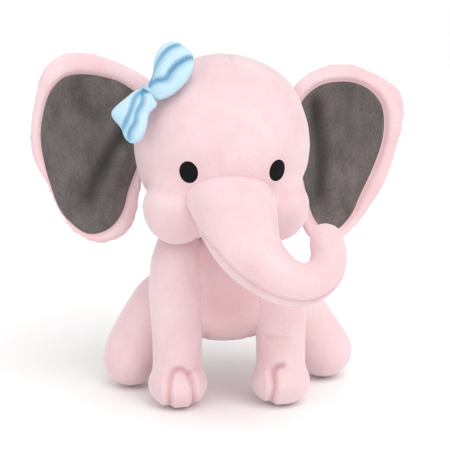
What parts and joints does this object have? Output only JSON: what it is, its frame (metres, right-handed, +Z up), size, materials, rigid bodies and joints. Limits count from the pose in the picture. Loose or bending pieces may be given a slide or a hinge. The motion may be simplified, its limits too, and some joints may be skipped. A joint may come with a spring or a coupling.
{
  "type": "stuffed toy elephant",
  "caption": "Seated plush elephant with a big head, wide padded ears lined in grey, a curled-up trunk, column front legs, splayed hind legs and a padded bow.",
  "frame": {"origin": "on the floor, under the middle of the whole toy's box", "axes": "+Z up, the face looks towards -Y, +X is the elephant's own left"},
  "size_m": [0.2745, 0.2033, 0.2497],
  "materials": {
    "pink_plush": "short-pile plush",
    "grey_lining": "short-pile plush",
    "blue_plush": "short-pile plush",
    "fibre_filling": "loose polyester fibre",
    "sheet_wadding": "needled sheet",
    "eye_thread": "satin stitch",
    "pink_thread": "sewing thread",
    "label_tape": "woven tape, blank",
    "seam_tape": "woven tape"
  },
  "bodies": {
    "torso": {"torso_skin": "pink_plush", "belly_panel": "pink_plush", "torso_stuffing": "fibre_filling", "closing_stitches": "pink_thread", "care_label": "label_tape"},
    "neck": {"neck_seam_tape": "seam_tape"},
    "head": {"head_skin_left": "pink_plush", "head_skin_right": "pink_plush", "head_stuffing": "fibre_filling", "left_eye": "eye_thread", "right_eye": "eye_thread"},
    "trunk": {"trunk_skin": "pink_plush", "trunk_gusset": "pink_plush", "trunk_stuffing": "fibre_filling"},
    "left_ear": {"left_ear_back": "pink_plush", "left_ear_lining": "grey_lining", "left_ear_wadding": "sheet_wadding"},
    "right_ear": {"right_ear_back": "pink_plush", "right_ear_lining": "grey_lining", "right_ear_wadding": "sheet_wadding"},
    "bow": {"bow_upper_loop": "blue_plush", "bow_lower_loop": "blue_plush", "bow_upper_filling": "fibre_filling", "bow_lower_filling": "fibre_filling", "bow_tie": "blue_plush", "bow_stitch": "blue_plush"},
    "front_left_leg": {"front_left_leg_skin": "pink_plush", "front_left_leg_stuffing": "fibre_filling", "front_left_leg_sole": "pink_plush", "front_left_toe_stitches": "pink_thread"},
    "front_right_leg": {"front_right_leg_skin": "pink_plush", "front_right_leg_stuffing": "fibre_filling", "front_right_leg_sole": "pink_plush", "front_right_toe_stitches": "pink_thread"},
    "hind_left_leg": {"hind_left_leg_skin": "pink_plush", "hind_left_leg_stuffing": "fibre_filling", "hind_left_leg_sole": "pink_plush"},
    "hind_right_leg": {"hind_right_leg_skin": "pink_plush", "hind_right_leg_stuffing": "fibre_filling", "hind_right_leg_sole": "pink_plush"},
    "tail": {"tail_sleeve": "pink_plush", "tail_stuffing": "fibre_filling", "tail_tuft": "pink_plush"}
  },
  "joints": [
    {"name": "head_turn", "type": "hinge", "parent": "torso", "child": "neck", "pos_m": [0, 0.0255, 0.092], "axis": [0, 0, 1], "range_deg": [-12, 12], "stiffness_Nm_per_rad": 1.5},
    {"name": "head_nod", "type": "hinge", "parent": "neck", "child": "head", "pos_m": [0, 0.0255, 0.092], "axis": [1, 0, 0], "range_deg": [-8, 6], "stiffness_Nm_per_rad": 2, "springref_deg": -0.46},
    {"name": "trunk_lift", "type": "hinge", "parent": "head", "child": "trunk", "pos_m": [0.00446, -0.03834, 0.15], "axis": [0.9976, 0.0698, 0], "range_deg": [-10, 8], "stiffness_Nm_per_rad": 0.4, "springref_deg": -0.69},
    {"name": "left_ear_fold", "type": "hinge", "parent": "head", "child": "left_ear", "pos_m": [0.06119, 0.04081, 0.16279], "axis": [-0.0703, -0.0964, 0.9929], "range_deg": [-14, 15], "stiffness_Nm_per_rad": 0.08},
    {"name": "right_ear_fold", "type": "hinge", "parent": "head", "child": "right_ear", "pos_m": [-0.06461, 0.03201, 0.163], "axis": [0.1519, -0.0808, 0.9851], "range_deg": [-15, 10], "stiffness_Nm_per_rad": 0.08},
    {"name": "bow_twist", "type": "hinge", "parent": "head", "child": "bow", "pos_m": [-0.05122, -0.01617, 0.2165], "axis": [-0.4982, -0.7574, 0.4221], "range_deg": [-8, 8], "stiffness_Nm_per_rad": 0.02},
    {"name": "front_left_leg_swing", "type": "hinge", "parent": "torso", "child": "front_left_leg", "pos_m": [0.036, -0.0065, 0.079], "axis": [1, 0, 0], "range_deg": [-12, 1], "stiffness_Nm_per_rad": 1},
    {"name": "front_right_leg_swing", "type": "hinge", "parent": "torso", "child": "front_right_leg", "pos_m": [-0.036, -0.0065, 0.079], "axis": [1, 0, 0], "range_deg": [-12, 1], "stiffness_Nm_per_rad": 1},
    {"name": "hind_left_leg_swing", "type": "hinge", "parent": "torso", "child": "hind_left_leg", "pos_m": [0.045, 0.0375, 0.058], "axis": [1, 0, 0], "range_deg": [-1, 11], "stiffness_Nm_per_rad": 1},
    {"name": "hind_right_leg_swing", "type": "hinge", "parent": "torso", "child": "hind_right_leg", "pos_m": [-0.045, 0.0375, 0.058], "axis": [1, 0, 0], "range_deg": [-1, 11], "stiffness_Nm_per_rad": 1},
    {"name": "tail_swing", "type": "hinge", "parent": "torso", "child": "tail", "pos_m": [0, 0.0845, 0.06], "axis": [1, 0, 0], "range_deg": [-6, 30], "stiffness_Nm_per_rad": 0.01}
  ]
}
